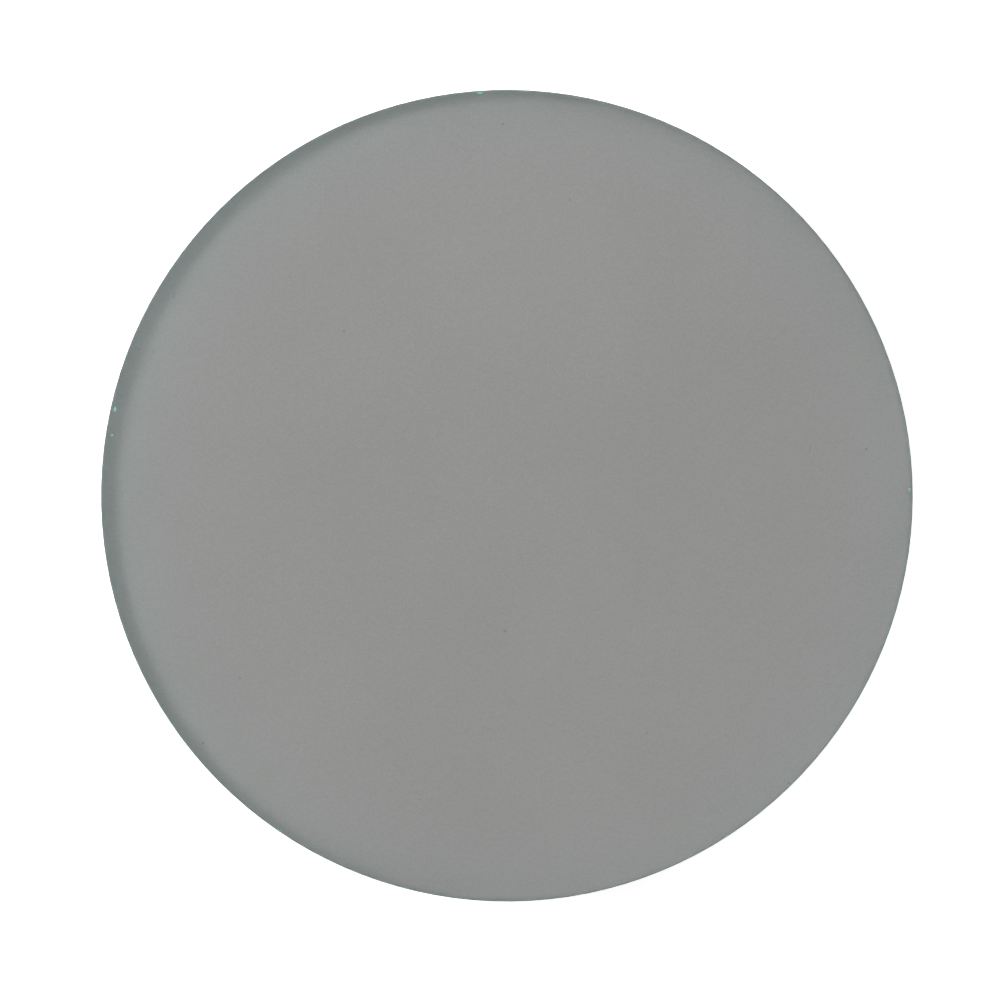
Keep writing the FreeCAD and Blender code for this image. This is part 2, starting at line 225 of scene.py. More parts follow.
def clear_face(tree, roughness):
    glass = add(tree, "BsdfPrincipled")
    feed(tree, glass, Base_Color=CLEAR_GREEN, Roughness=roughness, IOR=GLASS_IOR)
    glass.inputs["Transmission Weight"].default_value = 1.0
    return glass.outputs[0]


def height_of(tree, place):
    return add(tree, "SeparateXYZ", {0: place}).outputs["Z"]


def mix_shaders(tree, factor, first, second):
    return add(tree, "MixShader", {0: factor, 1: first, 2: second}).outputs[0]


def top_glass():
    """Clear float glass, etched on top, backed by the grey film, with ground edges."""
    made, tree, edge = new_material("etched_glass")
    place = position(tree)
    z = height_of(tree, place)
    grain = noise(tree, place, 640.0, 3.0, 0.7)
    face = clear_face(tree, remap(tree, grain, 0.3, 0.7, 0.36, 0.44))
    tint = blend_colour(tree, remap(tree, grain, 0.36, 0.64), grey(0.82, CLEAR_GREEN), CLEAR_GREEN)
    dirty = math_node(tree, "MULTIPLY", marks(tree, place, SPECKS), 0.55)
    feed(tree, face.node, Base_Color=blend_colour(tree, dirty, tint, DIRT))
    # Shell chips on the rim: an opaque lighter green, a painted highlight standing in for their glints
    chip_glint = add(tree, "BsdfPrincipled")
    feed(tree, chip_glint, Base_Color=CHIP_GLINT_GREEN, Roughness=remap(tree, grain, 0.3, 0.7, 0.25, 0.5))
    chip_glint_mask = math_node(tree, "MULTIPLY", marks(tree, place, CHIP_GLINT_SPOTS), 0.8)
    face = mix_shaders(tree, chip_glint_mask, face, chip_glint.outputs[0])
    on_top = math_node(tree, "GREATER_THAN", z, GLASS_TOP - SKIN)
    under = math_node(tree, "LESS_THAN", z, TOP_PLY_LOW + SKIN)
    shader = mix_shaders(tree, on_top, edge_shader(tree, place, edge), face)
    shader = mix_shaders(tree, under, shader, film_shader(tree))
    tree.links.new(shader, tree.nodes["Material Output"].inputs["Surface"])
    return made


def fritted_face(tree, place):
    """The clear underside, with a black ceramic border that breaks up into dots inside the carrier."""
    flat = add(tree, "VectorMath", {0: place, 1: (1.0, 1.0, 0.0)}, operation="MULTIPLY").outputs["Vector"]
    reach = add(tree, "VectorMath", {0: flat}, operation="LENGTH").outputs["Value"]
    dots = add(tree, "TexVoronoi", {"Vector": flat, "Scale": 330.0, "Randomness": 0.0}).outputs["Distance"]
    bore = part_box("carrier_ring")[1].x - CARRIER_WIDTH * MM
    size = remap(tree, reach, bore - FRIT_DOTS, bore - FRIT_BORDER, 0.0, 0.62)
    solid = math_node(tree, "GREATER_THAN", reach, bore - FRIT_BORDER)
    dotted = math_node(tree, "GREATER_THAN", size, dots)
    frit = add(tree, "BsdfPrincipled")
    speckle = noise(tree, place, 900.0, 2.0)
    colour = blend_colour(tree, speckle, FRIT_DARK, FRIT_LIGHT)
    feed(tree, frit, Base_Color=colour, Roughness=remap(tree, speckle, 0.3, 0.7, 0.18, 0.3))
    covered = math_node(tree, "MAXIMUM", solid, dotted)
    return mix_shaders(tree, covered, clear_face(tree, 0.02), frit.outputs[0])


def bottom_glass():
    """The lower sheet: grey film on top of it, clear underneath, with ground edges."""
    made, tree, edge = new_material("float_glass")
    place = position(tree)
    z = height_of(tree, place)
    on_top = math_node(tree, "GREATER_THAN", z, BOTTOM_HIGH - SKIN)
    under = math_node(tree, "LESS_THAN", z, BOTTOM_LOW + SKIN)
    shader = mix_shaders(tree, under, edge_shader(tree, place, edge), fritted_face(tree, place))
    shader = mix_shaders(tree, on_top, shader, film_shader(tree))
    tree.links.new(shader, tree.nodes["Material Output"].inputs["Surface"])
    return made


def grey_film():
    """The film's own edge and faces, painted at half brightness as shade between the glass plies, darker
    than where it is bonded to the glass.
    """
    made, tree, spare = new_material("grey_film")
    tree.nodes.remove(spare)
    tree.links.new(film_shader(tree, 0.5), tree.nodes["Material Output"].inputs["Surface"])
    return made


dress(top_glass(), "top_glass_ply")
dress(bottom_glass(), "bottom_glass_ply")


# ---------------------------------------------------------------- piece tools
def finish_piece(name, shape, material, body, slot, *stands_for):
    """Turn a shape in millimetres into a piece that rides on a body."""
    bmesh.ops.remove_doubles(shape, verts=shape.verts, dist=0.002)
    bmesh.ops.recalc_face_normals(shape, faces=shape.faces)
    bmesh.ops.scale(shape, verts=shape.verts, vec=(MM, MM, MM))
    mesh = bpy.data.meshes.new(name)
    shape.to_mesh(mesh)
    shape.free()
    mesh.shade_smooth()
    mesh.set_sharp_from_angle(angle=math.radians(34))
    mesh.materials.append(material)
    piece = bpy.data.objects.new(name, mesh)
    bpy.context.scene.collection.objects.link(piece)
    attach(piece, body)
    if stands_for:
        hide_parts(*stands_for)
    return piece


def bevelled(shape, edges, offset, segments):
    bmesh.ops.bevel(shape, geom=edges, offset=offset, offset_type="OFFSET", segments=segments,
                    profile=0.5, affect="EDGES", clamp_overlap=True, material=-1)


# ---------------------------------------------------------------- metal, rubber and plastic
# Each finish runs between two tones: dark then light, or clean then dusty, rubbed or bloomed
PLATE_TONES = ((0.37, 0.365, 0.355, 1.0), (0.53, 0.52, 0.505, 1.0))
LID_TONES = ((0.38, 0.375, 0.365, 1.0), (0.54, 0.53, 0.515, 1.0))
WELD_TONES = ((0.26, 0.25, 0.25, 1.0), (0.47, 0.45, 0.41, 1.0))
CAST_TONES = ((0.29, 0.285, 0.28, 1.0), (0.44, 0.43, 0.415, 1.0))
TURNED_TONES = ((0.55, 0.545, 0.535, 1.0), (0.70, 0.69, 0.68, 1.0))
SCREW_TONES = ((0.50, 0.49, 0.475, 1.0), (0.66, 0.65, 0.63, 1.0))
SPRING_TONES = ((0.13, 0.13, 0.14, 1.0), (0.24, 0.24, 0.25, 1.0))
BRONZE_TONES = ((0.43, 0.28, 0.13, 1.0), (0.58, 0.39, 0.185, 1.0))
SEAL_TONES = ((0.016, 0.016, 0.017, 1.0), (0.11, 0.105, 0.095, 1.0))
GASKET_TONES = ((0.02, 0.02, 0.02, 1.0), (0.15, 0.14, 0.12, 1.0))
GRIP_TONES = ((0.022, 0.022, 0.024, 1.0), (0.12, 0.115, 0.11, 1.0))
SILICONE_TONES = ((0.014, 0.014, 0.015, 1.0), (0.09, 0.085, 0.08, 1.0))
FOAM_TONES = ((0.02, 0.02, 0.021, 1.0), (0.06, 0.06, 0.062, 1.0))
PLASTIC_TONES = ((0.74, 0.73, 0.67, 1.0), (0.47, 0.46, 0.42, 1.0))
GRIME = (0.20, 0.175, 0.14, 1.0)
STRAW_TINT = (0.55, 0.42, 0.24, 1.0)
BLUE_TINT = (0.27, 0.29, 0.38, 1.0)
PLATE_EDGE = 0.45 * MM

# How closely a grain is packed along each axis, to the metre: low numbers draw it out
ALONG_X = (2600.0, 40.0, 40.0)
ALONG_Y = (40.0, 2600.0, 40.0)
ROLLED_PLATE = (200.0, 1700.0, 1700.0)
ROLLED_WALL = (35.0, 35.0, 700.0)
HEADED = (300.0, 300.0, 1500.0)
EVEN = (420.0, 420.0, 420.0)


def up_facing(tree, low=0.5, high=0.9):
    normal = add(tree, "NewGeometry").outputs["Normal"]
    up = add(tree, "SeparateXYZ", {0: normal}).outputs["Z"]
    return remap(tree, up, low, high)


def rounded_normal(tree, shader, height, strength, distance, radius):
    """Surface relief on top of edges that catch the light as if slightly rounded."""
    relief = add(tree, "Bump", {"Height": height, "Strength": strength, "Distance": distance})
    soft = add(tree, "Bevel", {"Radius": radius}, samples=3)
    tree.links.new(soft.outputs[0], relief.inputs["Normal"])
    tree.links.new(relief.outputs[0], shader.inputs["Normal"])


def metal(name, tones, rough, drawn, relief=0.00008, soft_edge=0.0, grime=0.0):
    """Bare metal: a drawn-out grain, cloudy patches, fine scratches, smudges and settled grime."""
    made, tree, shader = new_material(name)
    place = position(tree)
    grain = noise(tree, stretched(tree, place, drawn), 1.0, 5.0, 0.6)
    clouds = noise(tree, place, 9.0, 3.0)
    smudge = noise(tree, place, 55.0, 3.0, 0.65)
    scratch = noise(tree, stretched(tree, place, (900.0, 70.0, 260.0)), 1.0, 1.0)
    scratched = remap(tree, scratch, 0.74, 0.78)
    streaks = math_node(tree, "MULTIPLY", grain, 0.72)
    mixed = math_node(tree, "ADD", streaks, math_node(tree, "MULTIPLY", clouds, 0.28))
    colour = blend_colour(tree, remap(tree, mixed, 0.36, 0.64), *tones)
    colour = blend_colour(tree, math_node(tree, "MULTIPLY", scratched, 0.25), colour, grey(0.75))
    roughness = remap(tree, mixed, 0.3, 0.7, rough - 0.07, rough + 0.09)
    roughness = math_node(tree, "ADD", roughness, remap(tree, smudge, 0.5, 0.75, 0.0, 0.12))
    shine = 1.0
    if grime:
        settled = math_node(tree, "MULTIPLY", up_facing(tree), remap(tree, smudge, 0.42, 0.66))
        settled = math_node(tree, "MULTIPLY", settled, grime)
        colour = blend_colour(tree, settled, colour, GRIME)
        shine = math_node(tree, "SUBTRACT", 1.0, settled)
        roughness = math_node(tree, "ADD", roughness, math_node(tree, "MULTIPLY", settled, 0.35))
    feed(tree, shader, Base_Color=colour, Roughness=roughness, Metallic=shine)
    surface = math_node(tree, "SUBTRACT", mixed, math_node(tree, "MULTIPLY", scratched, 0.25))
    if soft_edge:
        rounded_normal(tree, shader, surface, 0.35, relief, soft_edge)
    else:
        bump(tree, shader, surface, 0.35, relief)
    return made


def plate_steel(name, drawn, heat_level=None):
    """Pickled stainless plate. Welded walls keep a faint straw and blue tint above the weld."""
    made = metal(name, PLATE_TONES, 0.33, drawn, soft_edge=PLATE_EDGE, grime=0.6)
    if heat_level is None:
        return made
    tree = made.node_tree
    shader = tree.nodes["Principled BSDF"]
    place = position(tree)
    wander = remap(tree, noise(tree, place, 60.0, 3.0), 0.3, 0.7, -1.6 * MM, 1.6 * MM)
    above_weld = math_node(tree, "SUBTRACT", height_of(tree, place), heat_level)
    rise = math_node(tree, "ADD", above_weld, wander)
    straw = remap(tree, rise, 3.0 * MM, 11.0 * MM, 0.5, 0.0)
    blue = remap(tree, rise, 2.5 * MM, 6.0 * MM, 0.55, 0.0)
    bare = shader.inputs["Base Color"].links[0].from_socket
    tinted = blend_colour(tree, straw, bare, STRAW_TINT)
    tinted = blend_colour(tree, blue, tinted, BLUE_TINT)
    tree.links.new(tinted, shader.inputs["Base Color"])
    return made


def weld_metal():
    """Weld bead: bright crests, heat-stained valleys and a little spatter grain."""
    made, tree, shader = new_material("weld_metal")
    place = position(tree)
    heat = noise(tree, place, 120.0, 3.0, 0.6)
    colour = blend_colour(tree, remap(tree, heat, 0.35, 0.65), *WELD_TONES)
    feed(tree, shader, Base_Color=colour, Metallic=1.0, Roughness=remap(tree, heat, 0.3, 0.7, 0.42, 0.26))
    bump(tree, shader, noise(tree, place, 1500.0, 2.0), 0.3, 0.00005)
    return made


def rubber(name, tones, rough, speckle=1400.0, relief=0.00008):
    """Black rubber with a fine pebble, pale bloom in patches and dust where it faces up."""
    made, tree, shader = new_material(name)
    place = position(tree)
    pebble = noise(tree, place, speckle, 3.0, 0.6)
    bloom = noise(tree, place, 45.0, 4.0, 0.6)
    settled = math_node(tree, "MULTIPLY", up_facing(tree), 0.12)
    dusty = math_node(tree, "ADD", remap(tree, bloom, 0.48, 0.78, 0.0, 0.55), settled)
    colour = blend_colour(tree, dusty, *tones)
    colour = blend_colour(tree, remap(tree, pebble, 0.62, 0.8, 0.0, 0.4), colour, grey(0.10))
    roughness = remap(tree, pebble, 0.3, 0.7, rough - 0.06, rough + 0.08)
    feed(tree, shader, Base_Color=colour, Roughness=roughness)
    shader.inputs["Specular IOR Level"].default_value = 0.35
    bump(tree, shader, pebble, 0.5, relief)
    return made


def silicone():
    """Tooled silicone: smooth satin black with long shallow drag ripples."""
    made, tree, shader = new_material("black_silicone")
    place = position(tree)
    drag = noise(tree, stretched(tree, place, (70.0, 70.0, 500.0)), 1.0, 3.0)
    dust = noise(tree, place, 240.0, 3.0, 0.7)
    colour = blend_colour(tree, remap(tree, dust, 0.56, 0.8, 0.0, 0.5), *SILICONE_TONES)
    feed(tree, shader, Base_Color=colour, Roughness=remap(tree, drag, 0.3, 0.7, 0.28, 0.42))
    bump(tree, shader, drag, 0.4, 0.0002)
    return made


def foam():
    """Closed-cell foam: small round cells, matt."""
    made, tree, shader = new_material("foam_tape")
    cells = add(tree, "TexVoronoi", {"Vector": position(tree), "Scale": 1600.0}).outputs["Distance"]
    colour = blend_colour(tree, remap(tree, cells, 0.1, 0.6), *FOAM_TONES)
    feed(tree, shader, Base_Color=colour, Roughness=remap(tree, cells, 0.0, 0.6, 0.95, 0.8))
    bump(tree, shader, cells, 0.6, 0.0003)
    return made


def bearing_plastic():
    """Natural bearing plastic: off-white, faint turning rings, grey where the spindle has rubbed."""
    made, tree, shader = new_material("bearing_plastic")
    place = position(tree)
    rings = noise(tree, stretched(tree, place, (20.0, 2500.0, 20.0)), 1.0, 2.0)
    rubbed = noise(tree, place, 180.0, 3.0)
    colour = blend_colour(tree, remap(tree, rubbed, 0.45, 0.75), *PLASTIC_TONES)
    feed(tree, shader, Base_Color=colour, Roughness=remap(tree, rings, 0.3, 0.7, 0.32, 0.46))
    shader.inputs["Subsurface Weight"].default_value = 0.08
    shader.inputs["Subsurface Scale"].default_value = 0.002
    bump(tree, shader, rings, 0.3, 0.00005)
    return made


flat_plate = plate_steel("stainless_plate", ROLLED_PLATE)
wall_plate = plate_steel("stainless_wall", ROLLED_WALL, heat_level=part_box("neck_ring")[0].z)
lid_plate = metal("stainless_lid_plate", LID_TONES, 0.31, ROLLED_PLATE, soft_edge=PLATE_EDGE)
welds = weld_metal()
cast = metal("cast_steel", CAST_TONES, 0.42, EVEN, relief=0.0003, grime=0.4)
turned_x = metal("turned_steel_across", TURNED_TONES, 0.20, ALONG_X)
turned_y = metal("turned_steel", TURNED_TONES, 0.20, ALONG_Y)
fastener = metal("fastener_steel", SCREW_TONES, 0.26, HEADED, grime=0.5)
spring = metal("spring_steel", SPRING_TONES, 0.36, EVEN)
bronze = metal("bronze", BRONZE_TONES, 0.30, EVEN)
seal_rubber = rubber("seal_rubber", SEAL_TONES, 0.56)
gasket_rubber = rubber("gasket_rubber", GASKET_TONES, 0.70, 700.0, 0.0002)
grip_rubber = rubber("grip_rubber", GRIP_TONES, 0.60, 1900.0)
sealant = silicone()

dress(gasket_rubber, "base_gasket")
dress(flat_plate, "base_flange", "neck_gussets", "hinge_bracket_right", "hinge_bracket_left")
dress(wall_plate, "neck_ring")
dress(lid_plate, "carrier_ring", "locating_tabs", "hinge_lug_right", "hinge_lug_left",
      "striker_pad", "striker_leg", "striker_foot")
dress(foam(), "spacer_tape")
dress(bronze, "hinge_bush_right", "hinge_bush_left")
dress(turned_y, "latch_bush")
dress(bearing_plastic(), "hinge_washers", "latch_liner", "lever_washer")


# ---------------------------------------------------------------- shape tools, in millimetres
def mm_box(node):
    low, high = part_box(node)
    return Vector(low) / MM, Vector(high) / MM


def middle(low, high):
    return (low + high) / 2


def verts_in(items):
    return [item for item in items if isinstance(item, bmesh.types.BMVert)]


def open_edges(shape):
    return [edge for edge in shape.edges if edge.is_boundary]


def level_edges(shape):
    return [edge for edge in shape.edges if abs(edge.verts[0].co.z - edge.verts[1].co.z) < 0.01]


def close_holes(shape):
    bmesh.ops.holes_fill(shape, edges=open_edges(shape), sides=0)


def revolved(shape, outline, steps, closed=False, turn=360.0):
    """Spin an outline of (radius, height) pairs about Z. A full turn joins up with itself."""
    verts = [shape.verts.new((radius, 0, height)) for radius, height in outline]
    pairs = list(zip(verts, verts[1:])) + ([(verts[-1], verts[0])] if closed else [])
    edges = [shape.edges.new(pair) for pair in pairs]
    whole = turn == 360.0
    bmesh.ops.spin(shape, geom=verts + edges, cent=(0, 0, 0), axis=(0, 0, 1), dvec=(0, 0, 0),
                   angle=math.radians(turn), steps=steps, use_merge=whole, use_normal_flip=False,
                   use_duplicate=False)
    if not whole:
        close_holes(shape)


def drawn_out(shape, section, stations):
    """Draw a closed section, (y, z) pairs, out along X through stations of (x, scale)."""
    x, size = stations[0]
    verts = [shape.verts.new((x, y * size, z * size)) for y, z in section]
    loop = [shape.edges.new(pair) for pair in zip(verts, verts[1:] + verts[:1])]
    for next_x, next_size in stations[1:]:
        grown = bmesh.ops.extrude_edge_only(shape, edges=loop)["geom"]
        fresh = verts_in(grown)
        bmesh.ops.translate(shape, verts=fresh, vec=(next_x - x, 0, 0))
        ratio = next_size / size
        bmesh.ops.scale(shape, verts=fresh, vec=(1, ratio, ratio))
        chosen = set(fresh)
        edges = [item for item in grown if isinstance(item, bmesh.types.BMEdge)]
        loop = [edge for edge in edges if set(edge.verts) <= chosen]
        x, size = next_x, next_size
    close_holes(shape)


def joined(shape, extra, place=None):
    """Add another shape to this one, moved to its place."""
    bmesh.ops.remove_doubles(extra, verts=extra.verts, dist=0.002)
    bmesh.ops.transform(extra, matrix=place or Matrix(), verts=extra.verts)
    bmesh.ops.recalc_face_normals(extra, faces=extra.faces)
    holder = bpy.data.meshes.new("holder")
    extra.to_mesh(holder)
    extra.free()
    shape.from_mesh(holder)
    bpy.data.meshes.remove(holder)


def moved(x, y, z):
    return Matrix.Translation((x, y, z))


def rotated(degrees, axis):
    return Matrix.Rotation(math.radians(degrees), 4, axis)


def pointed(x_to, y_to, z_to):
    """A turn or mirror that sends the X, Y and Z axes to these directions."""
    return Matrix((x_to, y_to, z_to)).transposed().to_4x4()


X_AXIS = (1, 0, 0)
Y_AXIS = (0, 1, 0)
Z_AXIS = (0, 0, 1)
LEFT = (-1, 0, 0)
DOWN = (0, 0, -1)


def slab(x, y, z, soften, segments=2):
    """A block centred on the origin with softened edges."""
    shape = bmesh.new()
    bmesh.ops.create_cube(shape, size=1.0)
    bmesh.ops.scale(shape, verts=shape.verts, vec=(x, y, z))
    bevelled(shape, list(shape.edges), soften, segments)
    return shape


def disc(radius, thickness, soften, segments=48):
    shape = bmesh.new()
    bmesh.ops.create_cone(shape, cap_ends=True, segments=segments, radius1=radius, radius2=radius,
                          depth=thickness)
    bevelled(shape, level_edges(shape), soften, 2)
    return shape


def hull_plate(circles, thickness, soften):
    """A flat plate whose outline is stretched round circles of (x, y, radius)."""
    shape = bmesh.new()
    for x, y, radius in circles:
        bmesh.ops.create_cone(shape, cap_ends=False, segments=40, radius1=radius, radius2=radius,
                              depth=thickness, matrix=moved(x, y, 0))
    result = bmesh.ops.convex_hull(shape, input=shape.verts, use_existing_faces=False)
    spare = verts_in(result["geom_interior"] + result["geom_unused"])
    bmesh.ops.delete(shape, geom=list(set(spare)), context="VERTS")
    bmesh.ops.dissolve_limit(shape, angle_limit=math.radians(1), verts=shape.verts, edges=shape.edges)
    bevelled(shape, level_edges(shape), soften, 2)
    return shape


def socket_screw(outline, flats, depth, steps=48):
    """A screw along Z with a hexagon socket. The outline runs from the socket's lip to the tip."""
    shape = bmesh.new()
    revolved(shape, outline, steps)
    bmesh.ops.remove_doubles(shape, verts=shape.verts, dist=0.002)
    lip = open_edges(shape)
    top = outline[0][1]
    bmesh.ops.create_circle(shape, segments=6, radius=flats / math.sqrt(3), matrix=moved(0, 0, top))
    wire = [edge for edge in shape.edges if edge.is_wire]
    bmesh.ops.subdivide_edges(shape, edges=wire, cuts=steps // 6 - 1)
    mouth = [edge for edge in shape.edges if edge.is_wire]
    bmesh.ops.bridge_loops(shape, edges=lip + mouth)
    sunk = bmesh.ops.extrude_edge_only(shape, edges=open_edges(shape))["geom"]
    bmesh.ops.translate(shape, verts=verts_in(sunk), vec=(0, 0, -depth))
    close_holes(shape)
    return shape


def ripple(distance, pitch=2.6):
    """How much a weld bead swells where the maker's hand has paused."""
    wave = math.cos(distance * math.tau / pitch)
    drift = math.sin(distance * 0.31) + math.sin(distance * 0.123 + 1.0)
    return 1.0 + 0.085 * wave + 0.035 * drift


def fillet_section(leg, root=0.25):
    return [(-root, -root), (leg, -root), (leg * 0.80, leg * 0.36), (leg * 0.60, leg * 0.60),
            (leg * 0.36, leg * 0.80), (-root, leg)]


def straight_weld(shape, length, leg, place):
    """A fillet weld along X, tapered at both ends, with its root on the X axis."""
    extra = bmesh.new()
    count = max(8, int(length / 0.65))
    stations = []
    for k in range(count + 1):
        end = min(k, count - k) / count * length
        taper = min(1.0, 0.55 + end / 3.0)
        stations.append((length * k / count, ripple(length * k / count) * taper))
    drawn_out(extra, fillet_section(leg), stations)
    joined(shape, extra, place)


def round_weld(shape, radius, leg, steps, place, outside=True, turn=360.0):
    """A fillet weld round Z with its root on a circle."""
    extra = bmesh.new()
    side = 1 if outside else -1
    outline = [(radius + side * across, up) for across, up in fillet_section(leg)]
    revolved(extra, outline, steps, closed=True, turn=turn)
    for vert in extra.verts:
        reach = math.hypot(vert.co.x, vert.co.y)
        swell = ripple(math.atan2(vert.co.y, vert.co.x) * radius)
        bigger = radius + (reach - radius) * swell
        vert.co.x *= bigger / reach
        vert.co.y *= bigger / reach
        vert.co.z *= swell
    joined(shape, extra, place)


# ---------------------------------------------------------------- film, seals and bond
def film_sheet():
    """The grey film, a hair thinner than the space it fills, so no two faces share a plane."""
    low, high = mm_box("grey_interlayer")
    hair = 0.02
    shape = bmesh.new()
    sheet = disc(high.x, high.z - low.z - 2 * hair, 0.3, segments=256)
    joined(shape, sheet, moved(0, 0, middle(low.z, high.z)))
    finish_piece("grey_film_sheet", shape, grey_film(), "lid", "grey_film", "grey_interlayer")


def edge_seal():
    """The push-on seal: two barbed legs over the neck and a crowned top with two lips."""
    low, high = mm_box("neck_seal")
    wall_high = mm_box("neck_ring")[1]
    half_width, half_wall = SEAL_WIDTH / 2, NECK_WALL / 2
    ridge = high.x - half_width
    foot, top, neck_top = low.z, high.z, wall_high.z
    outside = [
        (half_wall + 0.30, foot + 0.5), (half_wall + 0.8, foot), (half_width - 0.8, foot),
        (half_width, foot + 0.9), (half_width, top - 2.4), (half_width - 0.5, top - 0.9),
        (half_width - 1.6, top), (half_width - 3.9, top), (half_width - 4.6, top - 0.7),
    ]
    barbs = [
        (-half_wall - 0.05, foot + 1.6), (-half_wall - 0.5, foot + 2.0), (-half_wall - 0.5, foot + 4.0),
        (-half_wall - 0.05, foot + 5.2), (-half_wall - 0.5, foot + 5.6), (-half_wall - 0.5, neck_top + 0.05),
    ]
    outline = []
    for side in (outside, barbs):
        outline += side + [(-across, up) for across, up in reversed(side)]
    shape = bmesh.new()
    revolved(shape, [(ridge + across, up) for across, up in outline], 288, closed=True)
    finish_piece("edge_seal", shape, seal_rubber, "frame", "seal_rubber", "neck_seal")


def bond():
    """The tooled silicone bead: waisted between carrier and glass, a little wavy as laid."""
    low, high = mm_box("bond_bead")
    outer, inner = high.x, high.x - BEAD_WIDTH
    waist = middle(low.z, high.z)
    outline = [
        (outer, low.z), (outer - 1.1, low.z + 0.8), (outer - 1.7, waist),
        (outer - 1.1, high.z - 0.8), (outer, high.z),
        (inner, high.z), (inner + 0.9, high.z - 0.9), (inner + 1.3, waist),
        (inner + 0.9, low.z + 0.9), (inner, low.z),
    ]
    shape = bmesh.new()
    revolved(shape, outline, 360, closed=True)
    for vert in shape.verts:
        turn = math.atan2(vert.co.y, vert.co.x)
        reach = math.hypot(vert.co.x, vert.co.y)
        wave = 0.28 * math.sin(turn * 17) * math.sin(turn * 5 + 1) + 0.14 * math.sin(turn * 61)
        slack = min(1.0, min(vert.co.z - low.z, high.z - vert.co.z))
        vert.co.x *= 1 + wave * slack / reach
        vert.co.y *= 1 + wave * slack / reach
    finish_piece("tooled_bond_bead", shape, sealant, "lid", "black_silicone", "bond_bead")


# ---------------------------------------------------------------- welds
def neck_welds():
    """The fillet round the neck's foot and the seam where the rolled wall closes."""
    wall_low, wall_high = mm_box("neck_ring")
    skin, floor_level = wall_high.x, wall_low.z
    shape = bmesh.new()
    round_weld(shape, skin, 3.0, 2880, moved(0, 0, floor_level))
    finish_piece("neck_to_flange_weld", shape, welds, "frame", "stainless_plate")

    gusset_welds(skin, floor_level)

    seam = bmesh.new()
    section = [(-0.4, -2.6), (0.25, -2.3), (0.7, -1.2), (0.85, 0.0), (0.7, 1.2), (0.25, 2.3), (-0.4, 2.6)]
    count = 70
    length = mm_box("neck_seal")[0].z - floor_level - 2.5
    places = [length * k / count for k in range(count + 1)]
    drawn_out(seam, section, [(x, ripple(x, 2.2)) for x in places])
    shape = bmesh.new()
    upright = pointed(Z_AXIS, X_AXIS, Y_AXIS)
    joined(shape, seam, rotated(157.5, "Z") @ moved(skin, 0, floor_level + 1.5) @ upright)
    finish_piece("neck_seam_weld", shape, welds, "frame", "stainless_plate")


def gusset_welds(skin, floor_level):
    """Both sides of each gusset, along the flange and up the neck. The latch is at 270 degrees."""
    high = mm_box("neck_gussets")[1]
    reach = high.x - skin - 2.0
    rise = high.z - floor_level - 3.0
    shape = bmesh.new()
    for angle in (0, 45, 90, 135, 180, 225, 315):
        for side in (1, -1):
            foot = rotated(angle, "Z") @ moved(skin, side * GUSSET_THICKNESS / 2, floor_level)
            along = foot if side > 0 else foot @ rotated(90, "X")
            straight_weld(shape, reach, 2.4, along)
            straight_weld(shape, rise, 2.4, foot @ pointed(Z_AXIS, (0, side, 0), X_AXIS))
    finish_piece("gusset_welds", shape, welds, "frame", "stainless_plate")


def latch_bush_weld():
    """The bead round the bush, left open at the top, where the seal comes close."""
    skin = mm_box("neck_ring")[1].x
    low, high = mm_box("latch_bush")
    shape = bmesh.new()
    place = moved(0, -skin - 0.1, middle(low.z, high.z)) @ rotated(90, "X") @ rotated(140, "Z")
    round_weld(shape, high.x, 1.5, 150, place, turn=260.0)
    finish_piece("latch_bush_weld", shape, welds, "frame", "stainless_plate")


def bracket_welds():
    """Along the foot of each bracket ear, on its outer face."""
    low, high = mm_box("hinge_bracket_right")
    centre = middle(low.x, high.x)
    shape = bmesh.new()
    for hinge in (1, -1):
        for side in (1, -1):
            face = hinge * centre + side * EAR_SPREAD / 2
            start = moved(face, low.y + 1.5, low.z + 6.0)
            turn = pointed(Y_AXIS, (side, 0, 0), Z_AXIS)
            straight_weld(shape, high.y - low.y - 3.0, 2.2, start @ turn)
    finish_piece("bracket_ear_welds", shape, welds, "frame", "stainless_plate")


def tab_welds():
    """Two short beads on the inner face of each locating tab."""
    level = mm_box("locating_tabs")[1].z
    seal_inside = mm_box("neck_seal")[1].x - SEAL_WIDTH
    inner_plane = math.sqrt((seal_inside - TAB_GAP) ** 2 - (TAB_LENGTH / 2) ** 2) - TAB_THICKNESS
    shape = bmesh.new()
    for k in range(TAB_COUNT):
        turn = rotated((k + 0.5) * 360 / TAB_COUNT, "Z")
        for shift in (-22.0, 6.0):
            place = turn @ moved(inner_plane, shift, level) @ pointed(Y_AXIS, LEFT, DOWN)
            straight_weld(shape, 16.0, 2.4, place)
    finish_piece("tab_welds", shape, welds, "lid", "stainless_plate")


def striker_welds():
    """The striker's leg to its pad on three sides, and its foot to the leg."""
    pad_low = mm_box("striker_pad")[0]
    leg_low, leg_high = mm_box("striker_leg")
    foot_low, foot_high = mm_box("striker_foot")
    shape = bmesh.new()
    behind = moved(leg_low.x, leg_high.y, pad_low.z) @ pointed(X_AXIS, Y_AXIS, DOWN)
    straight_weld(shape, leg_high.x - leg_low.x, 2.2, behind)
    for side, face in ((-1, leg_low.x), (1, leg_high.x)):
        beside = moved(face, leg_low.y, pad_low.z) @ pointed(Y_AXIS, (side, 0, 0), DOWN)
        straight_weld(shape, leg_high.y - leg_low.y, 2.0, beside)
    on_foot = moved(foot_high.x, foot_low.y, foot_high.z) @ pointed(Y_AXIS, LEFT, Z_AXIS)
    straight_weld(shape, foot_high.y - foot_low.y, 1.8, on_foot)
    finish_piece("striker_welds", shape, welds, "lid", "stainless_plate")


# ---------------------------------------------------------------- fasteners and hinges
CAP_HEAD = 6.0
COUNTERSUNK_DROP = 0.05


def set_in(low, high, insets):
    """Places along X, set in from both ends of a row by each of the insets."""
    return [high.x - inset for inset in insets] + [low.x + inset for inset in insets]


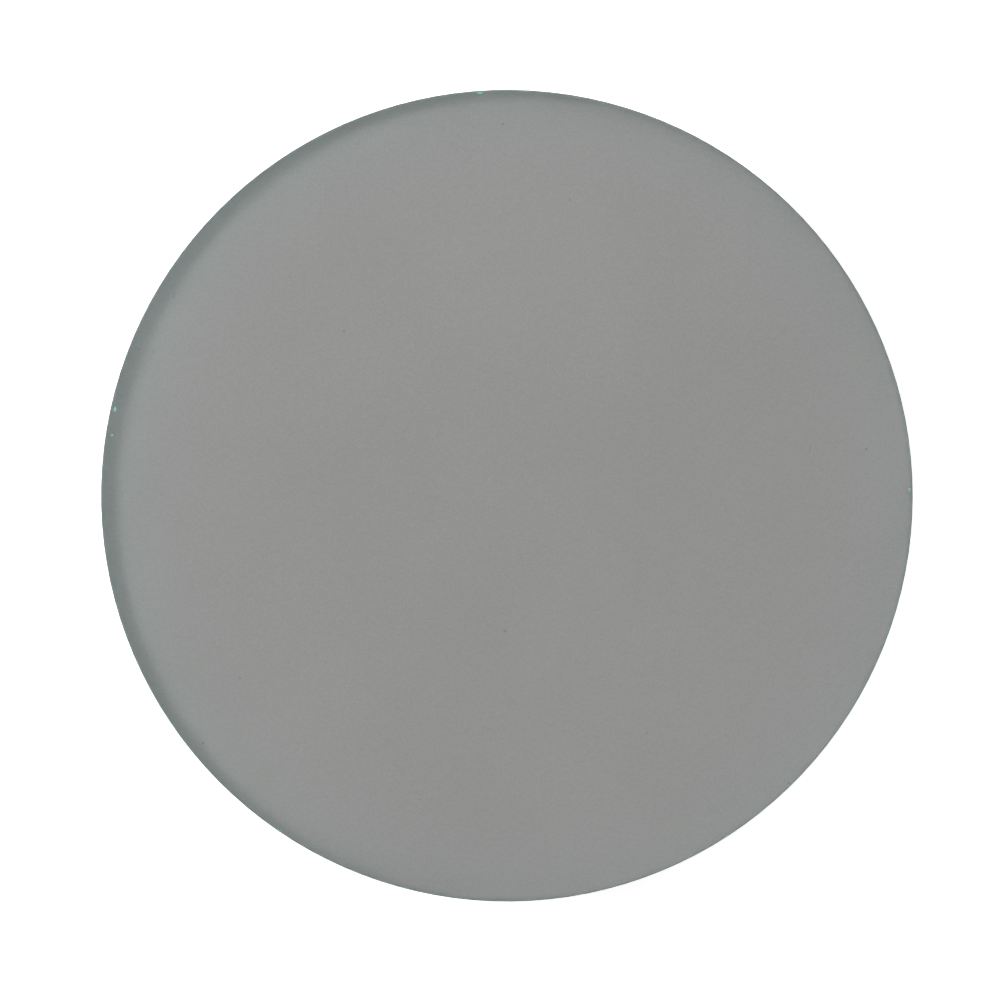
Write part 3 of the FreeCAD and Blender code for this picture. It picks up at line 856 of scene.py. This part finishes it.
def cap_screw_outline(length):
    head = [(3.1, CAP_HEAD), (4.3, CAP_HEAD), (4.75, 5.6), (5.0, 4.9), (5.0, 0.5), (4.8, 0.0)]
    return head + [(3.0, 0.0), (3.0, -length), (0.0, -length)]


def countersunk_outline(length):
    head = [(3.0, 0.0), (5.7, 0.0), (6.0, -0.25)]
    return head + [(3.0, -3.0), (3.0, -length + 0.5), (2.5, -length), (0.0, -length)]


def bracket_cap_screws():
    """Two cap screws to each hinge bracket, each left at its own angle."""
    low, high = mm_box("bracket_screws")
    y = middle(low.y, high.y)
    under_head = high.z - CAP_HEAD
    shape = bmesh.new()
    for x in set_in(low, high, (5.0, 17.0)):
        screw = socket_screw(cap_screw_outline(under_head - low.z), 5.0, 3.0)
        joined(shape, screw, moved(x, y, under_head) @ rotated(x * 7.0, "Z"))
    finish_piece("bracket_cap_screws", shape, fastener, "frame", "fastener_steel", "bracket_screws")


def countersunk_screws(node, name, insets):
    """Flush screws, each left at its own angle."""
    low, high = mm_box(node)
    y = middle(low.y, high.y)
    shape = bmesh.new()
    for x in set_in(low, high, insets):
        screw = socket_screw(countersunk_outline(high.z - low.z), 4.0, 2.0)
        joined(shape, screw, moved(x, y, high.z - COUNTERSUNK_DROP) @ rotated(x * 11.0, "Z"))
    finish_piece(name, shape, fastener, "lid", "fastener_steel", node)


def hinge_pins():
    """Headed pins with a centre dimple, a groove for the ring and a chamfered end."""
    head = [(0.0, 0.9), (1.1, 0.0), (6.8, 0.0), (7.7, 0.4), (8.0, 1.1), (8.0, 2.5), (7.6, 3.0)]
    groove = [(5.0, 37.1), (4.6, 37.2), (4.6, 38.45), (5.0, 38.55)]
    tip = [(5.0, 38.9), (4.3, 39.6), (1.1, 39.6), (0.0, 38.8)]
    outline = head + [(5.0, 3.0)] + groove + tip
    for node, side in (("hinge_pin_right", 1), ("hinge_pin_left", -1)):
        low, high = mm_box(node)
        start = low.x if side > 0 else high.x
        shape = bmesh.new()
        pin = bmesh.new()
        revolved(pin, outline, 56)
        place = moved(start, middle(low.y, high.y), middle(low.z, high.z)) @ rotated(side * 90, "Y")
        joined(shape, pin, place)
        finish_piece("turned_" + node, shape, turned_x, "frame", "turned_steel", node)


def retaining_rings():
    """Open spring rings with an eye at each end."""
    low, high = mm_box("hinge_circlips")
    y, z = middle(low.y, high.y), middle(low.z, high.z)
    thick = 1.2
    shape = bmesh.new()
    for side in (1, -1):
        edge = high.x - thick if side > 0 else low.x + thick
        place = moved(edge, y, z) @ rotated(side * 90, "Y") @ rotated(25.0, "Z")
        ring = bmesh.new()
        revolved(ring, [(4.7, 0.0), (7.0, 0.0), (7.0, thick), (4.7, thick)], 44, closed=True, turn=310.0)
        joined(shape, ring, place)
        for turn in (2.0, 308.0):
            eye = bmesh.new()
            revolved(eye, [(0.75, 0.0), (1.75, 0.0), (1.75, thick), (0.75, thick)], 24, closed=True)
            joined(shape, eye, place @ rotated(turn, "Z") @ moved(7.2, 0, 0))
    finish_piece("retaining_rings", shape, spring, "frame", "spring_steel", "hinge_circlips")


# ---------------------------------------------------------------- latch
bush_low, bush_high = mm_box("latch_bush")
LATCH_AXIS = middle(bush_low.z, bush_high.z)
OUTWARDS = rotated(90, "X")
INWARDS = rotated(-90, "X")
HUB_RADIUS = 10.0


def forged_lever():
    """A round hub that necks down to a flat arm."""
    low, high = mm_box("latch_lever")
    thick = high.y - low.y
    y = middle(low.y, high.y)
    shape = bmesh.new()
    hub = hull_plate([(0, 0, HUB_RADIUS), (11.0, 0, 5.9)], thick, 0.9)
    joined(shape, hub, moved(0, y, LATCH_AXIS) @ OUTWARDS)
    arm_start, arm_width = 6.0, 12.0
    arm = slab(high.x - arm_start, arm_width, thick - 0.3, 0.9)
    joined(shape, arm, moved(middle(arm_start, high.x), y, LATCH_AXIS) @ OUTWARDS)
    finish_piece("forged_lever", shape, cast, "latch", "cast_steel", "latch_lever")


def ribbed_grip():
    """A rounded sleeve with finger grooves across it."""
    low, high = mm_box("lever_grip")
    half_tall, half_deep = (high.z - low.z) / 2, (high.y - low.y) / 2
    corner, pitch = 2.6, 2.4
    section = []
    for side_y, side_z, first in ((1, 1, 0), (-1, 1, 90), (-1, -1, 180), (1, -1, 270)):
        for k in range(5):
            turn = math.radians(first + k * 22.5)
            section.append((side_y * (half_deep - corner) + corner * math.cos(turn),
                            side_z * (half_tall - corner) + corner * math.sin(turn)))
    stations = [(low.x, 0.90), (low.x + 0.4, 0.98), (low.x + 1.2, 1.0)]
    x = low.x + pitch
    while x < high.x - 4.5:
        stations += [(x, 1.0), (x + 0.35, 0.93), (x + 0.85, 0.93), (x + 1.2, 1.0)]
        x += pitch
    stations += [(high.x - 1.6, 1.0), (high.x - 0.9, 0.97), (high.x - 0.3, 0.9), (high.x, 0.8)]
    sleeve = bmesh.new()
    drawn_out(sleeve, section, stations)
    shape = bmesh.new()
    joined(shape, sleeve, moved(0, middle(low.y, high.y), LATCH_AXIS))
    finish_piece("ribbed_grip", shape, grip_rubber, "latch", "grip_rubber", "lever_grip")


def lever_socket_screw():
    """A button-headed socket screw through the lever's hub into the spindle."""
    front = mm_box("latch_lever")[0].y
    head = [(3.3, 3.0), (6.4, 3.0), (7.4, 2.55), (8.0, 1.5), (8.0, 0.2), (7.8, 0.0)]
    outline = head + [(3.0, 0.0), (3.0, -12.5), (0, -12.5)]
    shape = bmesh.new()
    screw = socket_screw(outline, 5.0, 1.9)
    joined(shape, screw, moved(0, front, LATCH_AXIS) @ OUTWARDS @ rotated(17, "Z"))
    finish_piece("lever_socket_screw", shape, fastener, "latch", "fastener_steel", "lever_screw")


def rounded_cam():
    """A hub stretched out to a square nose with rounded corners."""
    low, high = mm_box("latch_cam")
    corner = 4.0
    aside, nose = HUB_RADIUS - corner, high.z - LATCH_AXIS - corner
    circles = [(0, 0, HUB_RADIUS), (-aside, nose, corner), (aside, nose, corner)]
    bar = hull_plate(circles, high.y - low.y, 0.8)
    shape = bmesh.new()
    joined(shape, bar, moved(0, middle(low.y, high.y), LATCH_AXIS) @ OUTWARDS)
    finish_piece("rounded_cam", shape, cast, "latch", "cast_steel", "latch_cam")


def cam_nut_and_washer():
    low, high = mm_box("cam_nut")
    washer, nut = 1.5, 6.0
    shape = bmesh.new()
    joined(shape, disc(9.0, washer, 0.25), moved(0, low.y + washer / 2, LATCH_AXIS) @ INWARDS)
    place = moved(0, high.y - nut / 2, LATCH_AXIS) @ INWARDS @ rotated(30, "Z")
    joined(shape, disc(7.4, nut, 0.7, segments=6), place)
    finish_piece("cam_nut_and_washer", shape, fastener, "latch", "fastener_steel", "cam_nut")


def threaded_spindle():
    """A round journal with a square at each end, and a threaded stub for the nut."""
    front = mm_box("latch_lever")[1].y
    back = mm_box("latch_cam")[0].y
    length = back - front
    shape = bmesh.new()
    journal = bmesh.new()
    revolved(journal, [(0, 0), (6.5, 0), (7, 0.5), (7, length - 0.5), (6.5, length), (0, length)], 56)
    joined(shape, journal, moved(0, front, LATCH_AXIS) @ INWARDS)
    joined(shape, slab(10.0, 10.0, 6.0, 0.5), moved(0, front - 2.9, LATCH_AXIS) @ OUTWARDS)
    joined(shape, slab(10.0, 10.0, 7.0, 0.5), moved(0, back + 3.4, LATCH_AXIS) @ OUTWARDS)
    stub_start = back + 6.9
    reach = mm_box("latch_spindle")[1].y - stub_start
    outline = [(0.0, 0.0), (3.5, 0.0)]
    thread_pitch = 1.25
    step = 0.0
    while step < reach - 1.3:
        outline += [(3.45, step + 0.1), (3.98, step + 0.6), (3.98, step + 0.75)]
        step += thread_pitch
    outline += [(3.4, reach - 0.6), (3.1, reach), (0.0, reach)]
    stub = bmesh.new()
    revolved(stub, outline, 40)
    joined(shape, stub, moved(0, stub_start, LATCH_AXIS) @ INWARDS)
    finish_piece("threaded_spindle", shape, turned_y, "latch", "turned_steel", "latch_spindle")


film_sheet()
edge_seal()
bond()
neck_welds()
latch_bush_weld()
bracket_welds()
tab_welds()
striker_welds()
bracket_cap_screws()
countersunk_screws("lug_screws", "lug_countersunk_screws", (6.0, 18.0))
countersunk_screws("striker_screws", "striker_countersunk_screws", (6.0,))
hinge_pins()
retaining_rings()
forged_lever()
ribbed_grip()
lever_socket_screw()
rounded_cam()
cam_nut_and_washer()
threaded_spindle()


# ---------------------------------------------------------------- floor, light and camera
FLOOR_SHADE = (0.86, 0.86, 0.86, 1.0)
FLOOR_GLOW = 0.52
SKY_STRENGTH = 0.7
LAMPS = (
    ("key_left", (-4.9, 1.7, 4.2), 3.4, 450.0),
    ("fill_right", (2.4, 1.6, 2.6), 2.5, 20.0),
)
LENS = 100.0
SENSOR = 36.0
# The disc's width as a share of the frame's, and the camera's place in half widths of the frame
DISC_SHARE = 0.812
CAMERA_X = -0.0138
CAMERA_Y = -0.0086


def pale_floor():
    floor_mesh = bpy.data.meshes.new("floor")
    shape = bmesh.new()
    bmesh.ops.create_grid(shape, x_segments=1, y_segments=1, size=20.0)
    shape.to_mesh(floor_mesh)
    shape.free()
    floor = bpy.data.objects.new("floor", floor_mesh)
    bpy.context.scene.collection.objects.link(floor)
    made, tree, shader = new_material("floor_white")
    feed(tree, shader, Base_Color=FLOOR_SHADE, Roughness=0.9)
    shader.inputs["Emission Color"].default_value = (1.0, 1.0, 1.0, 1.0)
    shader.inputs["Emission Strength"].default_value = FLOOR_GLOW
    floor_mesh.materials.append(made)


def sky_and_lamps():
    world = bpy.data.worlds.new("studio")
    world.use_nodes = True
    world.node_tree.nodes["Background"].inputs["Color"].default_value = (1.0, 1.0, 1.0, 1.0)
    world.node_tree.nodes["Background"].inputs["Strength"].default_value = SKY_STRENGTH
    bpy.context.scene.world = world
    for name, place, size, power in LAMPS:
        lamp = bpy.data.lights.new(name, "AREA")
        lamp.shape = "DISK"
        lamp.size = size
        lamp.energy = power
        holder = bpy.data.objects.new(name, lamp)
        holder.location = place
        holder.rotation_euler = (-Vector(place)).to_track_quat("-Z", "Y").to_euler()
        bpy.context.scene.collection.objects.link(holder)


def overhead_camera():
    """Straight down, far enough off for the disc to fill its share of the frame's width."""
    lens = bpy.data.cameras.new("camera")
    lens.lens = LENS
    lens.sensor_width = SENSOR
    camera = bpy.data.objects.new("camera", lens)
    frame_half = GLASS_RADIUS / DISC_SHARE
    distance = frame_half * 2 * LENS / SENSOR
    camera.location = (CAMERA_X * frame_half, CAMERA_Y * frame_half, GLASS_TOP + distance)
    bpy.context.scene.collection.objects.link(camera)
    bpy.context.scene.camera = camera
    bpy.context.scene.view_settings.view_transform = "Standard"


pale_floor()
sky_and_lamps()
overhead_camera()
